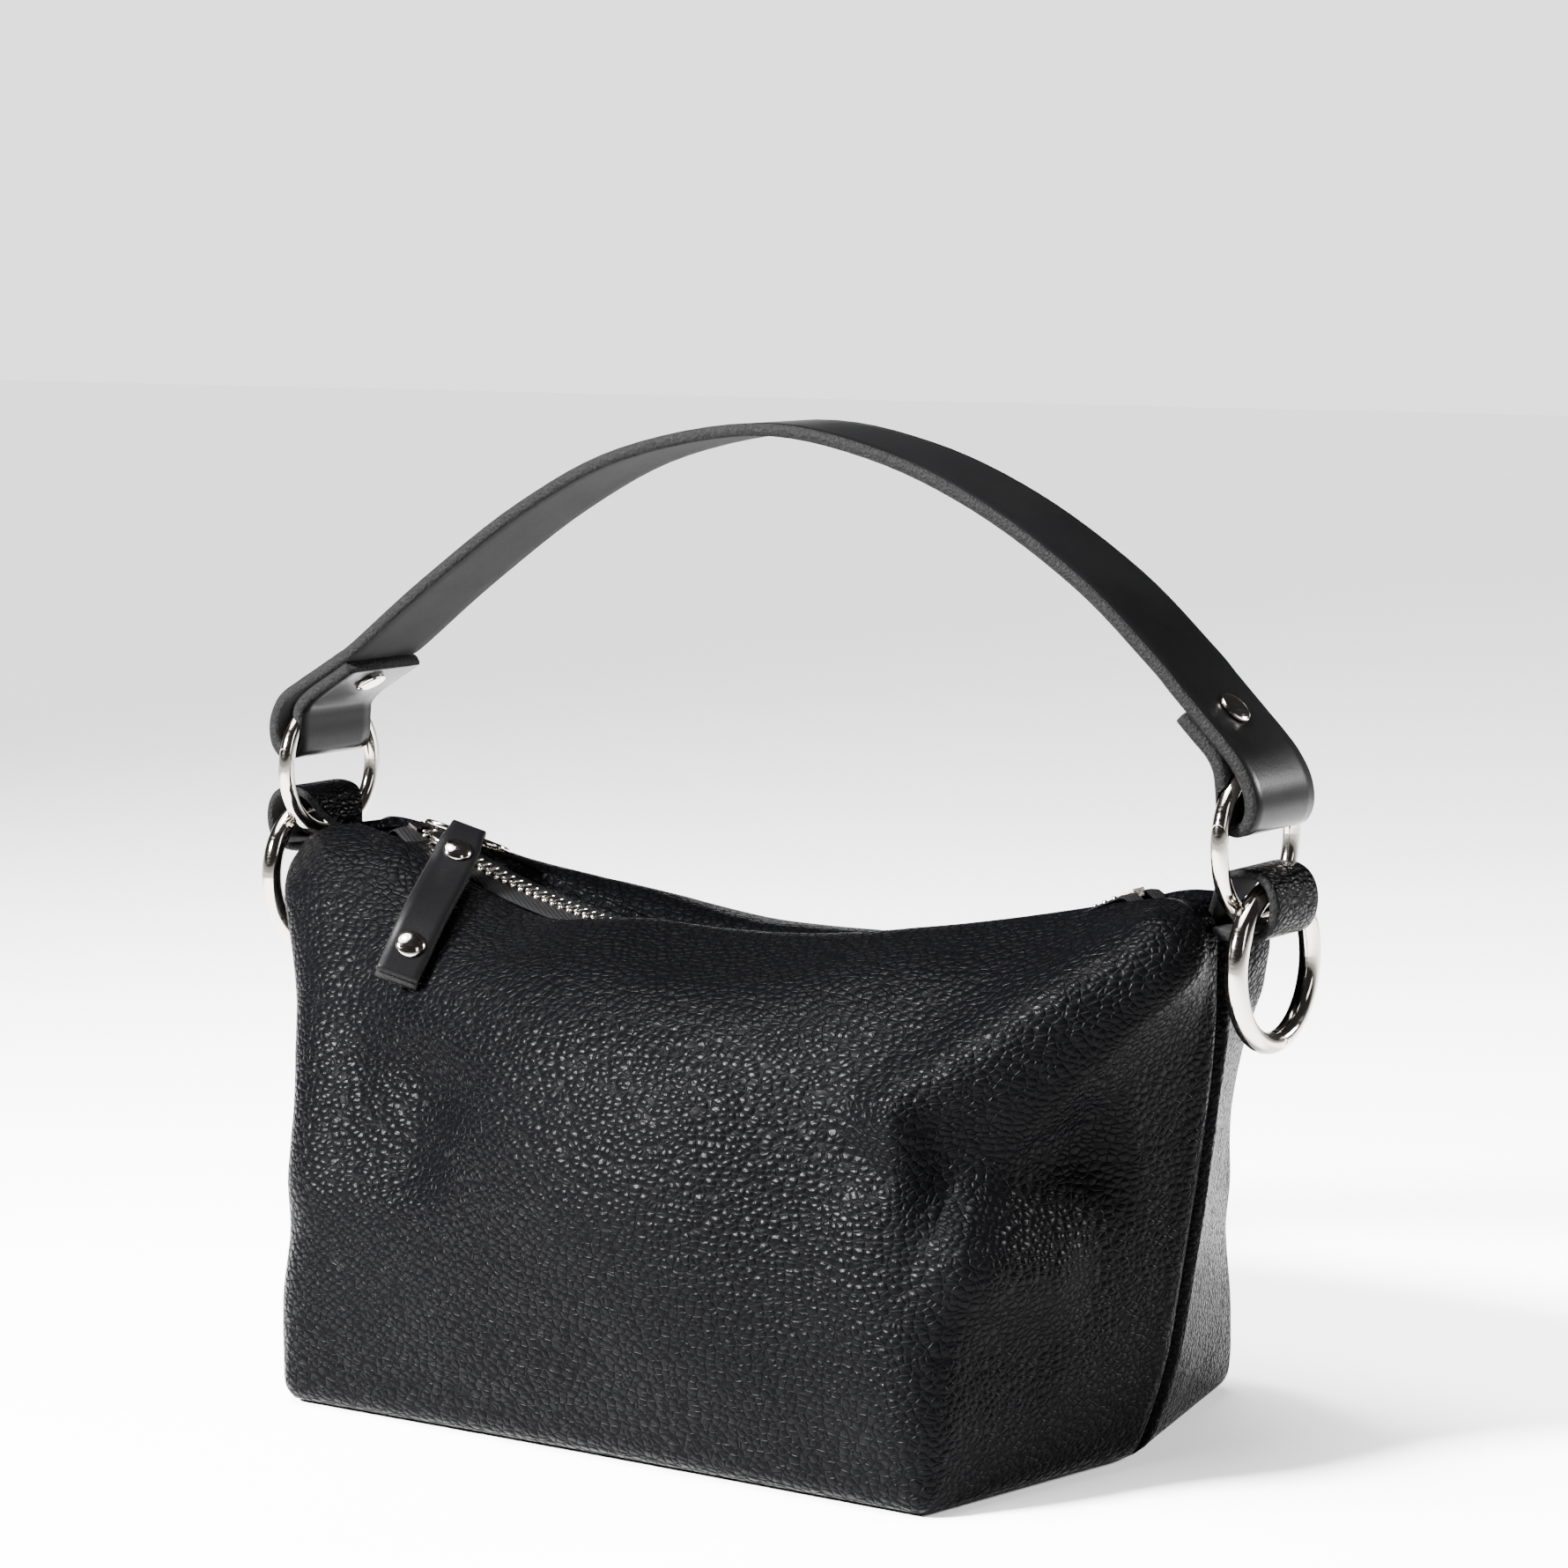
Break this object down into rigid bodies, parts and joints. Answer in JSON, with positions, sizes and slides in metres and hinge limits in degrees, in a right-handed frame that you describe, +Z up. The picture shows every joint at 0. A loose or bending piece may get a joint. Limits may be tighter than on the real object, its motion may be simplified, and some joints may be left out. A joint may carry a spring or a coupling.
{
  "type": "shoulder bag",
  "caption": "Small soft leather shoulder bag with a boxed flat base, a sagging zipped top, a riveted strap on spring-gate rings and two more rings hanging from its end tabs.",
  "frame": {"origin": "middle of the base, on the surface the bag stands on", "axes": "+X along the bag towards its right end as seen from the front, front panel faces -Y, +Z up"},
  "size_m": [0.2902, 0.145, 0.2368],
  "materials": {
    "pebbled_leather": "pebbled grain, semi-gloss black",
    "smooth_leather": "smooth, satin black, with raw dark edges",
    "zip_tape": "fine twill weave, matt black",
    "base_board": "plain stiffening board inside the base",
    "nickel": "polished nickel plate, slightly warm"
  },
  "bodies": {
    "bag": {"front_panel": "pebbled_leather", "back_panel": "pebbled_leather", "base_panel": "pebbled_leather", "base_board": "base_board", "end_seam_left": "pebbled_leather", "end_seam_right": "pebbled_leather", "zip_tape_front": "zip_tape", "zip_tape_back": "zip_tape", "zip_teeth_front": "nickel", "zip_teeth_back": "nickel", "zip_top_stop_front": "nickel", "zip_top_stop_back": "nickel", "zip_bottom_stop": "nickel", "zip_end_left": "pebbled_leather", "zip_end_right": "pebbled_leather", "tab_left": "pebbled_leather", "tab_right": "pebbled_leather"},
    "slider": {"zip_slider": "nickel"},
    "pull_ring": {"pull_ring": "nickel"},
    "pull": {"pull_tab": "smooth_leather", "pull_rivet_upper": "nickel", "pull_rivet_lower": "nickel"},
    "handle": {"strap": "smooth_leather", "strap_rivet_left": "nickel", "strap_rivet_right": "nickel"},
    "upper_ring_left": {"upper_ring_left": "nickel", "upper_gate_left": "nickel", "upper_pin_left": "nickel"},
    "upper_ring_right": {"upper_ring_right": "nickel", "upper_gate_right": "nickel", "upper_pin_right": "nickel"},
    "lower_ring_left": {"lower_ring_left": "nickel", "lower_pin_left": "nickel"},
    "lower_gate_left": {"lower_gate_left": "nickel"},
    "lower_ring_right": {"lower_ring_right": "nickel", "lower_pin_right": "nickel"},
    "lower_gate_right": {"lower_gate_right": "nickel"}
  },
  "joints": [
    {"name": "zip_travel", "type": "hinge", "parent": "bag", "child": "slider", "pos_m": [0, 0, 0.348], "axis": [0, -1, 0], "range_deg": [0, 45.6]},
    {"name": "pull_ring_flip", "type": "hinge", "parent": "slider", "child": "pull_ring", "pos_m": [-0.08876, 0.00141, 0.13001], "axis": [-0.814, -0.4695, 0.3421], "range_deg": [0, 120]},
    {"name": "pull_swing", "type": "hinge", "parent": "pull_ring", "child": "pull", "pos_m": [-0.08356, -0.00617, 0.13197], "axis": [-0.814, -0.4695, 0.3421], "range_deg": [0, 50]},
    {"name": "handle_swing", "type": "hinge", "parent": "bag", "child": "handle", "pos_m": [0, 0, 0.146], "axis": [1, 0, 0], "range_deg": [-35, 35]},
    {"name": "upper_ring_left_turn", "type": "hinge", "parent": "bag", "child": "upper_ring_left", "pos_m": [-0.1325, 0, 0.146], "axis": [1, 0, 0], "continuous": true},
    {"name": "upper_ring_right_turn", "type": "hinge", "parent": "bag", "child": "upper_ring_right", "pos_m": [0.1345, 0, 0.146], "axis": [1, 0, 0], "continuous": true},
    {"name": "lower_ring_left_swing", "type": "hinge", "parent": "bag", "child": "lower_ring_left", "pos_m": [-0.13735, 0, 0.136], "axis": [0, 1, 0], "range_deg": [0, 12]},
    {"name": "lower_ring_right_swing", "type": "hinge", "parent": "bag", "child": "lower_ring_right", "pos_m": [0.13935, 0, 0.136], "axis": [0, -1, 0], "range_deg": [0, 12]},
    {"name": "lower_gate_left_hinge", "type": "hinge", "parent": "lower_ring_left", "child": "lower_gate_left", "pos_m": [-0.13735, -0.00183, 0.1011], "axis": [-1, 0, 0], "range_deg": [0, 6], "stiffness_Nm_per_rad": 0.02},
    {"name": "lower_gate_right_hinge", "type": "hinge", "parent": "lower_ring_right", "child": "lower_gate_right", "pos_m": [0.13935, 0.00183, 0.1011], "axis": [1, 0, 0], "range_deg": [0, 6], "stiffness_Nm_per_rad": 0.02}
  ],
  "couplings": [
    {"joint": "pull_ring_flip", "follows": "zip_travel", "ratio": 2.6}
  ]
}
